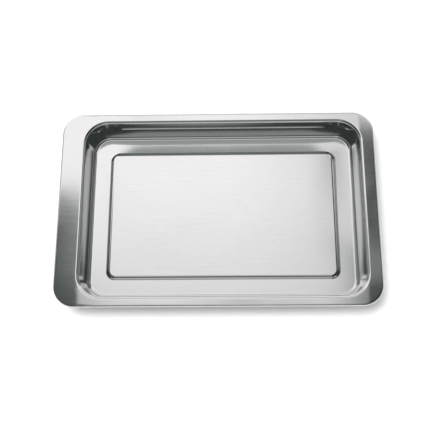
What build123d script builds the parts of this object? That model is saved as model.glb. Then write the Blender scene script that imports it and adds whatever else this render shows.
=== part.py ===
"""A shallow rectangular tray, drawn in a press from one sheet of stainless steel.

Frame: +Z up, +X along the tray towards the narrow end of the flange, +Y towards the back. The origin is
under the middle of the outer rim, on the surface that the tray stands on. Lengths are in millimetres and
angles in degrees.

Both skins of the sheet are drawn from sharp lines, with one outline for each bend, and the bends are then
rounded. A bend's radius is the one on its inner side.
"""

import os
from math import cos, radians, tan

from build123d import *

# The whole tray and its sheet
length = 400
width = 255
height = 34
sheet = 0.8

# Flange: a wide end at -X to hold the tray by, a narrower end at +X, and narrow long sides
grip_flange = 30
end_flange = 18
side_flange = 12.25
rim_corner = 27

# Lip: the edge of the flange, turned straight down
lip_drop = 3
lip_bend = 1.2

# Well
well_corner = 29
well_draft = 13
rim_bend = 3.2
foot_bend = 3.6

# Panel raised out of the floor, which leaves a strip of even width for the tray to stand on
strip_width = 22
panel_corner = 11
panel_rise = 1.9
panel_slope = 36
panel_bend = 5.7
panel_foot_bend = 2.2

# The mouth is the outline where the flange's top would meet the inner skin of the well's walls
mouth_length = length - grip_flange - end_flange
mouth_width = width - 2 * side_flange
well_centre = ((grip_flange - end_flange) / 2, 0)
wall_run = (height - sheet) * tan(radians(well_draft))
wall_set_off = sheet / cos(radians(well_draft))

# The panel's foot is the outline where the floor's top would meet the panel's sloping edge
foot_length = mouth_length - 2 * (wall_run + strip_width)
foot_width = mouth_width - 2 * (wall_run + strip_width)
slope_taper = 90 - panel_slope
slope_set_off = sheet * tan(radians(panel_slope / 2))


def edges_of_hole(part, z):
    """The edges of the hole in the part's level face at height z."""
    level_faces = part.faces().filter_by(Axis.Z)
    ring = level_faces.filter_by_position(Axis.Z, z - sheet / 4, z + sheet / 4)[0]
    return ring.inner_wires()[0].edges()


# The space inside the well, down to the floor
with BuildPart() as well_space:
    with BuildSketch(Plane.XY.offset(height)):
        with Locations(well_centre):
            RectangleRounded(mouth_length, mouth_width, well_corner)
    extrude(amount=sheet - height, taper=well_draft)
    fillet(well_space.faces().sort_by(Axis.Z)[0].edges(), foot_bend)

# The outside of the well, down to the surface that the tray stands on
with BuildPart() as well_outside:
    with BuildSketch(Plane.XY.offset(height)):
        with Locations(well_centre):
            RectangleRounded(
                mouth_length + 2 * wall_set_off,
                mouth_width + 2 * wall_set_off,
                well_corner + wall_set_off,
            )
    extrude(amount=-height, taper=well_draft)
    fillet(well_outside.faces().sort_by(Axis.Z)[0].edges(), foot_bend + sheet)

# The space under the flange, inside its lip
with BuildPart() as lip_space:
    with BuildSketch(Plane.XY.offset(height - sheet)):
        RectangleRounded(length - 2 * sheet, width - 2 * sheet, rim_corner - sheet)
    extrude(amount=sheet - lip_drop)
    fillet(lip_space.faces().sort_by(Axis.Z)[-1].edges(), lip_bend)

# The raised panel, from the floor's top
with BuildPart() as panel:
    with BuildSketch(Plane.XY.offset(sheet)):
        with Locations(well_centre):
            RectangleRounded(foot_length, foot_width, panel_corner)
    extrude(amount=panel_rise, taper=slope_taper)
    fillet(panel.faces().sort_by(Axis.Z)[-1].edges(), panel_bend + sheet)

# The space under the raised panel
with BuildPart() as panel_space:
    with BuildSketch(Plane.XY):
        with Locations(well_centre):
            RectangleRounded(
                foot_length - 2 * slope_set_off,
                foot_width - 2 * slope_set_off,
                panel_corner - slope_set_off,
            )
    extrude(amount=panel_rise, taper=slope_taper)
    fillet(panel_space.faces().sort_by(Axis.Z)[-1].edges(), panel_bend)

with BuildPart() as tray_pan:
    # The flange and its lip
    with BuildSketch(Plane.XY.offset(height)):
        RectangleRounded(length, width, rim_corner)
    extrude(amount=-lip_drop)
    fillet(tray_pan.faces().sort_by(Axis.Z)[-1].edges(), lip_bend + sheet)
    add(lip_space.part, mode=Mode.SUBTRACT)

    # The well, with the bend that joins it to the flange
    add(well_outside.part)
    fillet(edges_of_hole(tray_pan, height - sheet), rim_bend)
    add(well_space.part, mode=Mode.SUBTRACT)
    fillet(edges_of_hole(tray_pan, height), rim_bend + sheet)

    # The raised panel, with the bend at its foot
    add(panel.part)
    add(panel_space.part, mode=Mode.SUBTRACT)
    fillet(edges_of_hole(tray_pan, sheet), panel_foot_bend)
    fillet(edges_of_hole(tray_pan, 0), panel_foot_bend + sheet)

os.makedirs("parts", exist_ok=True)
tray_pan.part.label = "tray_pan"
export_step(tray_pan.part, "parts/tray_pan.step")
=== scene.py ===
"""A tray pressed from stainless steel, with a wide end to hold it by and a panel raised in its floor."""

import math
from collections import namedtuple

import bpy
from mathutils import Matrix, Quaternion, Vector


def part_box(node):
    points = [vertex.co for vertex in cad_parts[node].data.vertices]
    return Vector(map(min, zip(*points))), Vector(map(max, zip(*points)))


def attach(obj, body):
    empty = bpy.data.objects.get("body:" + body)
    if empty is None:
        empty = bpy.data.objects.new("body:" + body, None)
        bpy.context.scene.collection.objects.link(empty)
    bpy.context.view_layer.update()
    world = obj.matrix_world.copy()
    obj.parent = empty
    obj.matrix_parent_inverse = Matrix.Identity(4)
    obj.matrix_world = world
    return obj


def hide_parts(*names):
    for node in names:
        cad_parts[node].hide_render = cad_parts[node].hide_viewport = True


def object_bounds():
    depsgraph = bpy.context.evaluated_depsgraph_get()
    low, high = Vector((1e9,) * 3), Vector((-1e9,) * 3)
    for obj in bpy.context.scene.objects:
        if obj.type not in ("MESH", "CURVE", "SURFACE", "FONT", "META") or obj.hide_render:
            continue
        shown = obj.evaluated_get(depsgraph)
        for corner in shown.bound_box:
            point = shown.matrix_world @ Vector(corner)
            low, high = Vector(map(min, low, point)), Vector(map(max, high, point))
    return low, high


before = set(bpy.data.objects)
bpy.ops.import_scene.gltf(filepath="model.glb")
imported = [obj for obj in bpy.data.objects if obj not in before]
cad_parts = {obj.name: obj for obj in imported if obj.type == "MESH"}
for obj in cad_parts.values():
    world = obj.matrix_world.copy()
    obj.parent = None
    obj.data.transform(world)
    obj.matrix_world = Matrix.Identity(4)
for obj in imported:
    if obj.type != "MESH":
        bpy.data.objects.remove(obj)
cad_low, cad_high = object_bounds()


# ---------------------------------------------------------------------------------------------------------
# The camera stands in front of the tray and looks steeply down into it, with a long lens and a slight roll.

rim_middle = Vector(((cad_low.x + cad_high.x) / 2, (cad_low.y + cad_high.y) / 2, cad_high.z))
aim = rim_middle + Vector((-0.00305, -0.01214, 0))
azimuth = math.radians(4.28)
elevation = math.radians(70.95)
distance = 1.008
roll = math.radians(-4.485)

back = Vector(
    (
        math.sin(azimuth) * math.cos(elevation),
        -math.cos(azimuth) * math.cos(elevation),
        math.sin(elevation),
    )
)
camera = bpy.data.objects.new("camera", bpy.data.cameras.new("camera"))
camera.data.lens = 68
camera.data.sensor_width = 36
camera.rotation_mode = "QUATERNION"
camera.location = aim + distance * back
camera.rotation_quaternion = (-back).to_track_quat("-Z", "Y") @ Quaternion((0, 0, 1), roll)
bpy.context.scene.collection.objects.link(camera)
bpy.context.scene.camera = camera


# ---------------------------------------------------------------------------------------------------------
# The tray is one sheet of stainless steel, 0.8 mm thick, drawn in a press and trimmed. Its section is drawn
# here as sharp corners, and Geometry Nodes round each bend and carry the section round the tray's outlines.

tray_low, tray_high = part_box("tray_pan")
length = tray_high.x - tray_low.x
width = tray_high.y - tray_low.y
rim_top = tray_high.z
sheet = 0.0008
floor_top = tray_low.z + sheet

grip_flange = 0.030
end_flange = 0.018
side_flange = 0.01225
rim_corner = 0.027
lip_drop = 0.003
lip_bend = 0.0012
edge_bend = 0.00015

well_corner = 0.029
well_draft = math.radians(13)
rim_bend = 0.0032
foot_bend = 0.0036

# What the press leaves out of true: walls that belly between their bends, end flanges that droop, a crown
# along the back of the floor, which a power makes fall away down the strip, and slow waves in what is free
wall_flare = math.radians(4)
wall_bend = 0.17
end_droop = math.radians(1.5)
crown_height = 0.001
crown_power = 1.5
spring_height = 0.0006
spring_scale = 12.0

strip_width = 0.022
panel_corner = 0.011
panel_rise = 0.0019
panel_slope = math.radians(36)
panel_bend = 0.0057
panel_foot_bend = 0.0022

# How far from the sharp corner of a bend the stretch that leads to it is marked off
panel_margin = 0.0024
strip_margin = 0.0016
foot_margin = 0.0045
low_wall_margin = 0.0042
high_wall_margin = 0.0036
mouth_margin = 0.0036
lip_margin = 0.003

mouth_length = length - grip_flange - end_flange
mouth_width = width - 2 * side_flange
well_middle = (tray_low.x + grip_flange + tray_high.x - end_flange) / 2
wall_run = (rim_top - floor_top) * math.tan(well_draft)
foot_length = mouth_length - 2 * (wall_run + strip_width)
foot_width = mouth_width - 2 * (wall_run + strip_width)
panel_run = panel_rise / math.tan(panel_slope)
crown_start = foot_length * 0.38
crown_end = foot_length * 0.56


def core(outline_length, outline_width, radius, middle):
    """A rounded rectangle less its corner's radius all round: half its length and width, and its place."""
    return Vector((outline_length / 2 - radius, outline_width / 2 - radius, middle))


rim_core = core(length, width, rim_corner, (tray_low.x + tray_high.x) / 2)
well_core = core(mouth_length, mouth_width, well_corner, well_middle)
panel_core = core(foot_length, foot_width, panel_corner, well_middle)

# The sweep closes on a line along the middle of the panel
middle_core = Vector((panel_core.x - panel_core.y, 0, well_middle))

# A corner of the section: the outline's core, how far out from it and how high, the bend's radius and its
# steps, the cuts in the stretch that follows, how free the sheet is to spring, how far the press drew it,
# and how much use rubs it
Corner = namedtuple("Corner", "core out up bend steps cuts spring drawn rubbed")


def corner(outline_core, out, up, bend=0, steps=1, cuts=0, spring=0, drawn=0, rubbed=0):
    """A corner of the section. Most corners are sharp, with nothing special about them."""
    return Corner(outline_core, out, up, bend, steps, cuts, spring, drawn, rubbed)


wall_foot = Vector((well_corner - wall_run, floor_top))
mouth = Vector((well_corner, rim_top))
half_wall = (mouth - wall_foot) / 2
waist = wall_foot + half_wall + Vector((-half_wall.y, half_wall.x)) * math.tan(wall_flare)
low_wall = wall_foot + (waist - wall_foot).normalized() * low_wall_margin
high_wall = mouth + (waist - mouth).normalized() * high_wall_margin
panel_top = floor_top + panel_rise
panel_edge = panel_corner - panel_run

upper_skin = [
    corner(middle_core, 0, panel_top, cuts=12, spring=1),
    corner(panel_core, panel_edge - panel_margin, panel_top),
    corner(panel_core, panel_edge, panel_top, bend=panel_bend + sheet, steps=14, drawn=0.4, rubbed=0.4),
    corner(panel_core, panel_corner, floor_top, bend=panel_foot_bend, steps=9, drawn=0.4),
    corner(panel_core, panel_corner + strip_margin, floor_top, cuts=6),
    corner(well_core, wall_foot.x - foot_margin, floor_top),
    corner(well_core, wall_foot.x, floor_top, bend=foot_bend, steps=16, drawn=1),
    corner(well_core, low_wall.x, low_wall.y, drawn=1),
    corner(well_core, waist.x, waist.y, bend=wall_bend, steps=14, drawn=1),
    corner(well_core, high_wall.x, high_wall.y, drawn=1),
    corner(well_core, mouth.x, rim_top, bend=rim_bend + sheet, steps=16, drawn=1, rubbed=0.3),
    corner(well_core, mouth.x + mouth_margin, rim_top, cuts=8),
    corner(rim_core, rim_corner - lip_margin, rim_top, spring=1),
    corner(rim_core, rim_corner, rim_top, bend=lip_bend + sheet, steps=12, spring=1, drawn=0.5, rubbed=1),
    corner(rim_core, rim_corner, rim_top - lip_drop, bend=edge_bend, steps=3, spring=1, drawn=0.5, rubbed=1),
]


def heading(start, end):
    """The way from one corner to the next, as out and up. It is level wherever the outline changes."""
    if start.core != end.core:
        return Vector((1, 0))
    return Vector((end.out - start.out, end.up - start.up)).normalized()


def lower_corner(index):
    """The lower skin's corner, one sheet's thickness under a corner of the upper skin."""
    top = upper_skin[index]
    neighbours = upper_skin[max(index - 1, 0) : index + 2]
    ways = [heading(*pair) for pair in zip(neighbours, neighbours[1:])]
    down = [Vector((way.y, -way.x)) for way in (ways[0], ways[-1])]
    shift = (down[0] + down[1]) * sheet / (1 + down[0].dot(down[1]))
    bend = top.bend
    if bend > edge_bend:
        bend += sheet if down[0].cross(down[1]) > 0 else -sheet
    cuts = upper_skin[index - 1].cuts if index else 0
    return top._replace(out=top.out + shift.x, up=top.up + shift.y, bend=bend, cuts=cuts)


section = upper_skin + [lower_corner(index) for index in reversed(range(len(upper_skin)))]
section_mesh = bpy.data.meshes.new("tray_section")
section_mesh.from_pydata(
    [(point.out, 0, point.up) for point in section],
    [(index, index + 1) for index in range(len(section) - 1)],
    [],
)
for name in ("bend", "steps", "cuts", "spring", "drawn", "rubbed"):
    kind = "INT" if name in ("steps", "cuts") else "FLOAT"
    values = [getattr(point, name) for point in section]
    section_mesh.attributes.new(name, kind, "POINT").data.foreach_set("value", values)
cores = [number for point in section for number in point.core]
section_mesh.attributes.new("core", "FLOAT_VECTOR", "POINT").data.foreach_set("vector", cores)
drawing = bpy.data.objects.new("tray_section", section_mesh)
bpy.context.scene.collection.objects.link(drawing)


def add_node(tree, kind, inputs=None, **settings):
    """A node of that kind, with its settings made and its inputs linked or filled in."""
    node = tree.nodes.new(kind)
    for name, value in settings.items():
        setattr(node, name, value)
    for name, value in (inputs or {}).items():
        if isinstance(value, bpy.types.NodeSocket):
            tree.links.new(value, node.inputs[name])
        else:
            node.inputs[name].default_value = value
    return node


def calc(tree, operation, *numbers, clamp=False):
    """The output of a Math node."""
    inputs = dict(enumerate(numbers))
    return add_node(tree, "ShaderNodeMath", inputs, operation=operation, use_clamp=clamp).outputs[0]


def press_tree():
    """The node tree that bends the section's corners and sweeps it round the outlines of the tray."""
    tree = bpy.data.node_groups.new("press the sheet", "GeometryNodeTree")
    inputs = (
        ("Section", "NodeSocketGeometry"),
        ("Corner steps", "NodeSocketInt"),
        ("Side steps", "NodeSocketInt"),
        ("Spring height", "NodeSocketFloat"),
        ("Spring scale", "NodeSocketFloat"),
        ("Seed", "NodeSocketFloat"),
        ("Crown height", "NodeSocketFloat"),
        ("End droop", "NodeSocketFloat"),
        ("Steel", "NodeSocketMaterial"),
    )
    for name, kind in inputs:
        tree.interface.new_socket(name, in_out="INPUT", socket_type=kind)
    tree.interface.new_socket("Tray", in_out="OUTPUT", socket_type="NodeSocketGeometry")
    given = add_node(tree, "NodeGroupInput").outputs

    def named(name, kind):
        """An attribute of the section."""
        return add_node(
            tree, "GeometryNodeInputNamedAttribute", {"Name": name}, data_type=kind
        ).outputs["Attribute"]

    # The section's bends, rounded, and its long stretches, cut
    line = add_node(tree, "GeometryNodeMeshToCurve", {"Mesh": given["Section"]})
    bent = add_node(
        tree,
        "GeometryNodeFilletCurve",
        {"Curve": line.outputs[0], "Count": named("steps", "INT"), "Radius": named("bend", "FLOAT")},
        mode="POLY",
    )
    cut = add_node(
        tree, "GeometryNodeSubdivideCurve", {"Curve": bent.outputs[0], "Cuts": named("cuts", "INT")}
    ).outputs[0]
    rows = add_node(
        tree, "GeometryNodeAttributeDomainSize", {"Geometry": cut}, component="CURVE"
    ).outputs["Point Count"]

    # A grid with a row for each point of the section and a column for each step round the tray
    quarter_steps = calc(tree, "ADD", given["Corner steps"], given["Side steps"])
    columns = calc(tree, "MULTIPLY_ADD", quarter_steps, 4, 1)
    grid = add_node(
        tree, "GeometryNodeMeshGrid", {"Vertices X": rows, "Vertices Y": columns}
    ).outputs["Mesh"]
    index = add_node(tree, "GeometryNodeInputIndex").outputs[0]
    row = calc(tree, "FLOOR", calc(tree, "DIVIDE", calc(tree, "ADD", index, 0.5), columns))
    column = calc(tree, "SUBTRACT", index, calc(tree, "MULTIPLY", row, columns))

    # Each quarter of the outline turns a corner and then runs along a side
    quarter = calc(tree, "FLOOR", calc(tree, "DIVIDE", calc(tree, "ADD", column, 0.5), quarter_steps))
    step = calc(tree, "SUBTRACT", column, calc(tree, "MULTIPLY", quarter, quarter_steps))
    turned = calc(tree, "MINIMUM", calc(tree, "DIVIDE", step, given["Corner steps"]), 1)
    past_corner = calc(tree, "SUBTRACT", step, given["Corner steps"])
    along = calc(tree, "DIVIDE", past_corner, given["Side steps"], clamp=True)
    angle = calc(tree, "MULTIPLY", calc(tree, "ADD", quarter, turned), math.pi / 2)
    place = calc(tree, "ADD", quarter, along)

    def side(middle):
        """+1 or -1 at each corner of the core, -1 at the two beside the middle, in between along a side."""
        away = calc(tree, "ABSOLUTE", calc(tree, "SUBTRACT", place, middle))
        return calc(tree, "MAXIMUM", calc(tree, "MINIMUM", calc(tree, "MULTIPLY_ADD", away, 2, -2), 1), -1)

    def from_section(value, kind):
        """What the value is at the section's point for this row."""
        node = add_node(
            tree, "GeometryNodeSampleIndex", {"Geometry": cut, "Index": row}, data_type=kind
        )
        tree.links.new(value, node.inputs["Value"])
        return node.outputs["Value"]

    position = add_node(tree, "GeometryNodeInputPosition").outputs[0]
    point = add_node(tree, "ShaderNodeSeparateXYZ", {0: from_section(position, "FLOAT_VECTOR")}).outputs
    kernel = from_section(named("core", "FLOAT_VECTOR"), "FLOAT_VECTOR")
    kernel = add_node(tree, "ShaderNodeSeparateXYZ", {0: kernel}).outputs
    out_x = calc(tree, "MULTIPLY", point["X"], calc(tree, "COSINE", angle))
    out_y = calc(tree, "MULTIPLY", point["X"], calc(tree, "SINE", angle))
    x = calc(tree, "ADD", kernel["Z"], calc(tree, "MULTIPLY_ADD", side(1.5), kernel["X"], out_x))
    y = calc(tree, "MULTIPLY_ADD", side(2.5), kernel["Y"], out_y)
    swept_place = add_node(tree, "ShaderNodeCombineXYZ", {"X": x, "Y": y, "Z": point["Z"]}).outputs[0]
    swept = add_node(
        tree, "GeometryNodeSetPosition", {"Geometry": grid, "Position": swept_place}
    ).outputs[0]

    # Where the sheet is free, it springs a little out of true as it leaves the press
    wave = add_node(
        tree,
        "ShaderNodeTexNoise",
        {"W": given["Seed"], "Scale": given["Spring scale"], "Detail": 1.0},
        noise_dimensions="4D",
    ).outputs["Fac"]
    lift = calc(tree, "MULTIPLY", calc(tree, "SUBTRACT", wave, 0.5), given["Spring height"])
    lift = calc(tree, "MULTIPLY", lift, from_section(named("spring", "FLOAT"), "FLOAT"))
    flat_place = add_node(
        tree, "ShaderNodeVectorMath", {0: position, 1: (1, 1, 0)}, operation="MULTIPLY"
    ).outputs[0]
    tree.links.new(flat_place, wave.node.inputs["Vector"])

    # The floor comes out of the press a little crowned along the back wall, and true again at the corners
    def ramp(value, start, end, kind="SMOOTHSTEP"):
        """A rise from 0 to 1 between two values."""
        inputs = {"Value": value, "From Min": start, "From Max": end}
        return add_node(tree, "ShaderNodeMapRange", inputs, interpolation_type=kind).outputs["Result"]

    place_now = add_node(tree, "ShaderNodeSeparateXYZ", {0: position}).outputs
    from_middle = calc(tree, "ABSOLUTE", calc(tree, "SUBTRACT", place_now["X"], well_middle))
    panel_side = foot_width / 2
    strip_rise = ramp(place_now["Y"], panel_side + strip_width, panel_side, kind="LINEAR")
    crown = calc(tree, "POWER", strip_rise, crown_power)
    crown = calc(tree, "MULTIPLY", crown, ramp(place_now["Y"], -panel_side, panel_side))
    crown = calc(tree, "MULTIPLY", crown, ramp(from_middle, crown_end, crown_start))
    lift = calc(tree, "MULTIPLY_ADD", crown, given["Crown height"], lift)

    # The two end flanges droop a little, away from the mouth
    past_mouth = calc(tree, "MAXIMUM", calc(tree, "SUBTRACT", from_middle, mouth_length / 2), 0)
    droop = calc(tree, "MULTIPLY", past_mouth, calc(tree, "TANGENT", given["End droop"]))
    lift = calc(tree, "SUBTRACT", lift, droop)
    lift = add_node(tree, "ShaderNodeCombineXYZ", {"Z": lift}).outputs[0]
    sprung = add_node(tree, "GeometryNodeSetPosition", {"Geometry": swept, "Offset": lift}).outputs[0]

    # What the steel's finish goes by, and the blank's own map, with its grain along X
    marked = sprung
    for name in ("drawn", "rubbed"):
        value = from_section(named(name, "FLOAT"), "FLOAT")
        marked = add_node(
            tree,
            "GeometryNodeStoreNamedAttribute",
            {"Geometry": marked, "Name": name, "Value": value},
            data_type="FLOAT",
            domain="POINT",
        ).outputs[0]
    mapped = add_node(
        tree,
        "GeometryNodeStoreNamedAttribute",
        {"Geometry": marked, "Name": "sheet", "Value": position},
        data_type="FLOAT2",
        domain="CORNER",
    ).outputs[0]

    # Welded seams, smooth faces and the steel
    welded = add_node(
        tree, "GeometryNodeMergeByDistance", {"Geometry": mapped, "Distance": 1e-6}
    ).outputs[0]
    smooth = add_node(tree, "GeometryNodeSetShadeSmooth", {"Geometry": welded}).outputs[0]
    real = add_node(tree, "GeometryNodeRealizeInstances", {"Geometry": smooth}).outputs[0]
    steel = add_node(
        tree, "GeometryNodeSetMaterial", {"Geometry": real, "Material": given["Steel"]}
    ).outputs[0]
    add_node(tree, "NodeGroupOutput", {"Tray": steel})
    return tree


def brushed_steel():
    """Stainless steel with a fine grain along the blank, burnished where the press drew it over the die."""
    steel_grey = 0.62
    steel_roughness = 0.1
    steel_anisotropy = 0.35
    grain_depth = 0.0000007
    streak_depth = 0.0000012
    wave_depth = 0.000004

    # What the press wipes off the grain and takes off the roughness, and what wear puts on the edges
    wiped_grain = 0.95
    burnish = 0.025
    wear_start = 0.4
    wear_sharpness = 5
    wear_brightness = 0.05
    wear_roughness = 0.06

    material = bpy.data.materials.new("brushed_steel")
    material.use_nodes = True
    tree = material.node_tree
    bsdf = tree.nodes["Principled BSDF"]
    bsdf.inputs["Metallic"].default_value = 1
    bsdf.inputs["Anisotropic"].default_value = steel_anisotropy
    tangent = add_node(tree, "ShaderNodeTangent", direction_type="UV_MAP", uv_map="sheet")
    tree.links.new(tangent.outputs[0], bsdf.inputs["Tangent"])
    place = add_node(tree, "ShaderNodeTexCoord").outputs["Object"]

    def noise(scale, detail, stretch=(1, 1, 1), roughness=0.5):
        """Noise on the tray, from 0 to 1, with its place scaled by the stretch along each axis."""
        stretched = add_node(tree, "ShaderNodeMapping", {"Vector": place, "Scale": stretch}).outputs[0]
        inputs = {"Vector": stretched, "Scale": scale, "Detail": detail, "Roughness": roughness}
        return add_node(tree, "ShaderNodeTexNoise", inputs).outputs["Fac"]

    def about(value, middle, swing):
        """The middle value, with the noise swinging it up and down by so much."""
        return calc(tree, "MULTIPLY_ADD", calc(tree, "MULTIPLY_ADD", value, 2, -1), swing, middle)

    drawn = add_node(tree, "ShaderNodeAttribute", attribute_name="drawn").outputs["Fac"]
    rubbed = add_node(tree, "ShaderNodeAttribute", attribute_name="rubbed").outputs["Fac"]

    # The grain, which the press wipes off the walls, its coarser streaks, smudges from hands, and scuffs
    kept_grain = calc(tree, "MULTIPLY_ADD", drawn, -wiped_grain, 1)
    grain = noise(scale=2400, stretch=(0.04, 1, 1), detail=3)
    streaks = noise(scale=420, stretch=(0.05, 1, 1), detail=3)
    smudges = noise(scale=16, detail=4, roughness=0.6)
    scuffs = calc(tree, "MULTIPLY", noise(scale=140, detail=3), rubbed)
    wear = calc(tree, "SUBTRACT", scuffs, wear_start)
    wear = calc(tree, "MULTIPLY", wear, wear_sharpness, clamp=True)

    # Colour: streaks of the brushing, faint smudges, and brighter steel where an edge has been rubbed
    tone = calc(tree, "MULTIPLY", about(streaks, 0, swing=0.02), kept_grain)
    tone = calc(tree, "ADD", tone, about(smudges, 0, swing=0.02))
    tone = calc(tree, "ADD", tone, about(grain, steel_grey, swing=0.05))
    tone = calc(tree, "MULTIPLY_ADD", wear, wear_brightness, tone)
    shade = add_node(tree, "ShaderNodeCombineColor", {"Red": tone, "Green": tone, "Blue": tone}).outputs[0]
    tree.links.new(shade, bsdf.inputs["Base Color"])

    # Roughness: handling leaves cloudy patches, wear dulls the edges, and the die burnishes what it draws
    rough = about(streaks, about(smudges, steel_roughness, swing=0.025), swing=0.02)
    rough = calc(tree, "MULTIPLY_ADD", wear, wear_roughness, rough)
    rough = calc(tree, "MULTIPLY_ADD", drawn, -burnish, rough)
    tree.links.new(rough, bsdf.inputs["Roughness"])

    # Relief: the grain, its coarser streaks, and the slow wave that rolling leaves in the sheet
    wave = noise(scale=60, stretch=(0.3, 1, 1), detail=1)
    relief = calc(tree, "MULTIPLY", grain, calc(tree, "MULTIPLY", kept_grain, grain_depth))
    relief = calc(tree, "MULTIPLY_ADD", streaks, calc(tree, "MULTIPLY", kept_grain, streak_depth), relief)
    relief = calc(tree, "MULTIPLY_ADD", wave, wave_depth, relief)
    bump = add_node(tree, "ShaderNodeBump", {"Height": relief, "Strength": 1.0, "Distance": 1.0})
    tree.links.new(bump.outputs[0], bsdf.inputs["Normal"])
    return material


press = drawing.modifiers.new("press", "NODES")
press.node_group = press_tree()
sizes = {
    "Corner steps": 28,
    "Side steps": 24,
    "Spring height": spring_height,
    "Spring scale": spring_scale,
    "Seed": 7.0,
    "Crown height": crown_height,
    "End droop": end_droop,
    "Steel": brushed_steel(),
}
for socket in press.node_group.interface.items_tree:
    if socket.name in sizes:
        press[socket.identifier] = sizes[socket.name]
depsgraph = bpy.context.evaluated_depsgraph_get()
tray_mesh = bpy.data.meshes.new_from_object(drawing.evaluated_get(depsgraph))
tray_mesh.name = "tray"
bpy.data.objects.remove(drawing)
tray = bpy.data.objects.new("tray", tray_mesh)
bpy.context.scene.collection.objects.link(tray)
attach(tray, "root")
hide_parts("tray_pan")


# ---------------------------------------------------------------------------------------------------------
# The tray stands on a white table that is lit past white, so that only the tray's own shadow shows on it.

floor_mesh = bpy.data.meshes.new("floor")
table_reach = 10
table_corners = [
    (across * table_reach, along * table_reach, cad_low.z)
    for across, along in ((-1, -1), (1, -1), (1, 1), (-1, 1))
]
floor_mesh.from_pydata(table_corners, [], [(0, 1, 2, 3)])
floor = bpy.data.objects.new("floor", floor_mesh)
white = bpy.data.materials.new("white_table")
white.use_nodes = True
white_bsdf = white.node_tree.nodes["Principled BSDF"]
white_bsdf.inputs["Base Color"].default_value = (0.9, 0.9, 0.9, 1)
white_bsdf.inputs["Roughness"].default_value = 1
white_bsdf.inputs["Specular IOR Level"].default_value = 0
floor_mesh.materials.append(white)
bpy.context.scene.collection.objects.link(floor)

bpy.context.scene.view_settings.view_transform = "Standard"

# Between them, the key and the studio light the table past white. The key comes from high on the left and
# a little from behind, and it casts the tray's shadow. The steel doesn't mirror it.
key_level = 0.75
table_level = 0.65
key = bpy.data.objects.new("key", bpy.data.lights.new("key", "SUN"))
key.data.energy = key_level * math.pi
key.data.angle = math.radians(28)
key.rotation_euler = Vector((-0.3, 0.06, 1)).to_track_quat("Z", "Y").to_euler()
key.visible_glossy = False
bpy.context.scene.collection.objects.link(key)

# What the steel mirrors is a studio of flat cards: white scrims and black flags. Each is placed by the way
# that it faces, as azimuth from +Y and height in degrees, and by its edges, in multiples of its distance.
# A card hangs in front of those before it in the list, and behind them all is the unlit room.
unlit_level = 0.08
Card = namedtuple("Card", "azimuth height left right bottom top softness level")

studio = (
    # Low scrims to the right and left, and in front
    Card(75, 0, left=-1.2, right=1.2, bottom=-0.2, top=0.4, softness=0.1, level=0.35),
    Card(-75, 0, left=-1.2, right=1.2, bottom=-0.2, top=0.4, softness=0.1, level=0.4),
    Card(160, 0, left=-0.9, right=1.2, bottom=-0.2, top=0.36, softness=0.1, level=0.7),
    Card(-160, 0, left=-1.2, right=0.9, bottom=-0.2, top=0.36, softness=0.1, level=0.7),
    # The tall scrim behind the tray, one overhead, and brighter and dimmer ones before them
    Card(-3, 0, left=-0.97, right=0.97, bottom=-0.2, top=7.0, softness=0.14, level=1.0),
    Card(0, 90, left=-0.45, right=0.45, bottom=-0.18, top=0.22, softness=0.08, level=0.66),
    Card(0, 90, left=-0.5, right=0.1, bottom=-1.2, top=-0.27, softness=0.12, level=1.4),
    Card(0, 0, left=-0.42, right=0.42, bottom=0.9, top=1.8, softness=0.06, level=0.42),
    Card(-3, 0, left=-1.1, right=1.0, bottom=-0.2, top=0.55, softness=0.1, level=1.4),
    # Flags overhead on the left, then on the right, with a grey strip across those on the right
    Card(0, 90, left=-0.8, right=-0.24, bottom=-0.377, top=0.3, softness=0.02, level=0.11),
    Card(0, 90, left=-0.8, right=-0.2, bottom=-0.245, top=0.3, softness=0.02, level=0.11),
    Card(0, 90, left=0.2, right=0.8, bottom=-0.48, top=0.3, softness=0.02, level=0.08),
    Card(0, 90, left=0.15, right=0.8, bottom=-0.25, top=0.3, softness=0.02, level=0.04),
    Card(0, 90, left=0.145, right=0.34, bottom=-0.305, top=-0.255, softness=0.01, level=0.32),
    # Small scrims on the left, then on the right
    Card(-60, 0, left=-0.2, right=0.2, bottom=0.4, top=0.9, softness=0.1, level=0.5),
    Card(-58, 0, left=-0.12, right=0.12, bottom=1.05, top=1.5, softness=0.05, level=1.3),
    Card(-78, 0, left=-0.14, right=0.14, bottom=-0.2, top=0.7, softness=0.04, level=0.42),
    Card(60, 0, left=-0.2, right=0.2, bottom=0.4, top=0.8, softness=0.1, level=0.32),
    Card(60, 0, left=-0.12, right=0.12, bottom=0.9, top=1.2, softness=0.05, level=1.0),
    # Small scrims in front
    Card(180, 0, left=-0.02, right=0.12, bottom=-0.2, top=0.63, softness=0.06, level=0.5),
    Card(180, 0, left=-0.2, right=0.2, bottom=0.2, top=0.5, softness=0.08, level=0.9),
    Card(180, 0, left=-0.3, right=0.3, bottom=1.06, top=1.6, softness=0.04, level=0.55),
)


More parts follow.
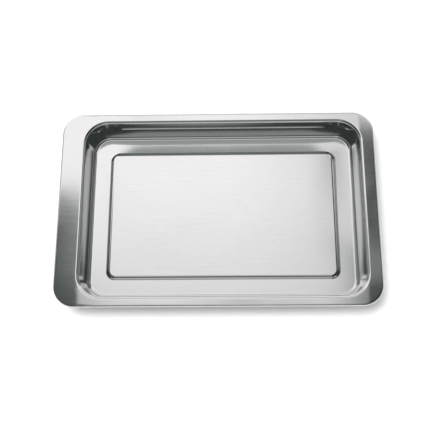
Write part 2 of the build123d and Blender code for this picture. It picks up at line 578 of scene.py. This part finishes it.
def card_group():
    """A shader group: how much of a flat card is in the way of a direction, from 0 to 1."""
    group = bpy.data.node_groups.new("card", "ShaderNodeTree")
    for name in ("Direction", "Facing", "Across", "Up"):
        group.interface.new_socket(name, in_out="INPUT", socket_type="NodeSocketVector")
    for name in ("Left", "Right", "Bottom", "Top", "Softness"):
        group.interface.new_socket(name, in_out="INPUT", socket_type="NodeSocketFloat")
    group.interface.new_socket("Cover", in_out="OUTPUT", socket_type="NodeSocketFloat")
    given = add_node(group, "NodeGroupInput").outputs

    def dot(axis):
        """How far the direction goes along one of the card's axes."""
        vectors = {0: given["Direction"], 1: given[axis]}
        return add_node(group, "ShaderNodeVectorMath", vectors, operation="DOT_PRODUCT").outputs["Value"]

    def past(value, edge):
        """0 to 1 as the value passes the edge, over the card's softness."""
        start = calc(group, "SUBTRACT", given[edge], given["Softness"])
        end = calc(group, "ADD", given[edge], given["Softness"])
        inputs = {"Value": value, "From Min": start, "From Max": end}
        return add_node(
            group, "ShaderNodeMapRange", inputs, interpolation_type="SMOOTHSTEP"
        ).outputs["Result"]

    ahead = dot("Facing")
    least_ahead = 0.001
    distance_out = calc(group, "MAXIMUM", ahead, least_ahead)
    across = calc(group, "DIVIDE", dot("Across"), distance_out)
    up = calc(group, "DIVIDE", dot("Up"), distance_out)
    cover = calc(group, "GREATER_THAN", ahead, least_ahead)
    for value, low, high in ((across, "Left", "Right"), (up, "Bottom", "Top")):
        cover = calc(group, "MULTIPLY", cover, past(value, low))
        cover = calc(group, "MULTIPLY", cover, calc(group, "SUBTRACT", 1, past(value, high)))
    add_node(group, "NodeGroupOutput", {"Cover": cover})
    return group


world = bpy.data.worlds.new("studio")
bpy.context.scene.world = world
world.use_nodes = True
sky = world.node_tree
sky.nodes.clear()
direction = add_node(sky, "ShaderNodeTexCoord").outputs["Generated"]
card_cover = card_group()
level = add_node(sky, "ShaderNodeValue").outputs[0]
level.default_value = unlit_level
for card in studio:
    turn, rise = math.radians(card.azimuth), math.radians(card.height)
    ways = {
        "Facing": (math.sin(turn) * math.cos(rise), math.cos(turn) * math.cos(rise), math.sin(rise)),
        "Across": (math.cos(turn), -math.sin(turn), 0),
        "Up": (-math.sin(turn) * math.sin(rise), -math.cos(turn) * math.sin(rise), math.cos(rise)),
    }
    edges = {name: getattr(card, name.lower()) for name in ("Left", "Right", "Bottom", "Top", "Softness")}
    cover = add_node(sky, "ShaderNodeGroup", node_tree=card_cover)
    sky.links.new(direction, cover.inputs["Direction"])
    for name, value in {**ways, **edges}.items():
        cover.inputs[name].default_value = value
    step_up = calc(sky, "SUBTRACT", card.level, level)
    level = calc(sky, "MULTIPLY_ADD", cover.outputs["Cover"], step_up, level)

# The unlit parts of the studio are a little green, and the lit ones a little warm. The mixer's colours are
# its seventh and eighth inputs, after those for numbers and vectors, and its third output.
shade_tint = (0.86, 1.0, 0.975, 1)
light_tint = (1.01, 0.995, 1.0, 1)
tint = add_node(sky, "ShaderNodeMix", {"Factor": level, 6: shade_tint, 7: light_tint}, data_type="RGBA")
mirrored = add_node(sky, "ShaderNodeBackground", {"Color": tint.outputs[2], "Strength": level})
plain = add_node(sky, "ShaderNodeBackground", {"Color": (1, 1, 1, 1), "Strength": table_level})
seen = add_node(sky, "ShaderNodeBackground", {"Color": (1, 1, 1, 1), "Strength": 1.0})
ray = add_node(sky, "ShaderNodeLightPath").outputs


def either(choice, if_not, if_so):
    """One background or the other, by the kind of ray."""
    return add_node(sky, "ShaderNodeMixShader", {0: ray[choice], 1: if_not, 2: if_so}).outputs[0]


lit = either("Is Glossy Ray", plain.outputs[0], mirrored.outputs[0])
shown = either("Is Camera Ray", lit, seen.outputs[0])
add_node(sky, "ShaderNodeOutputWorld", {"Surface": shown})
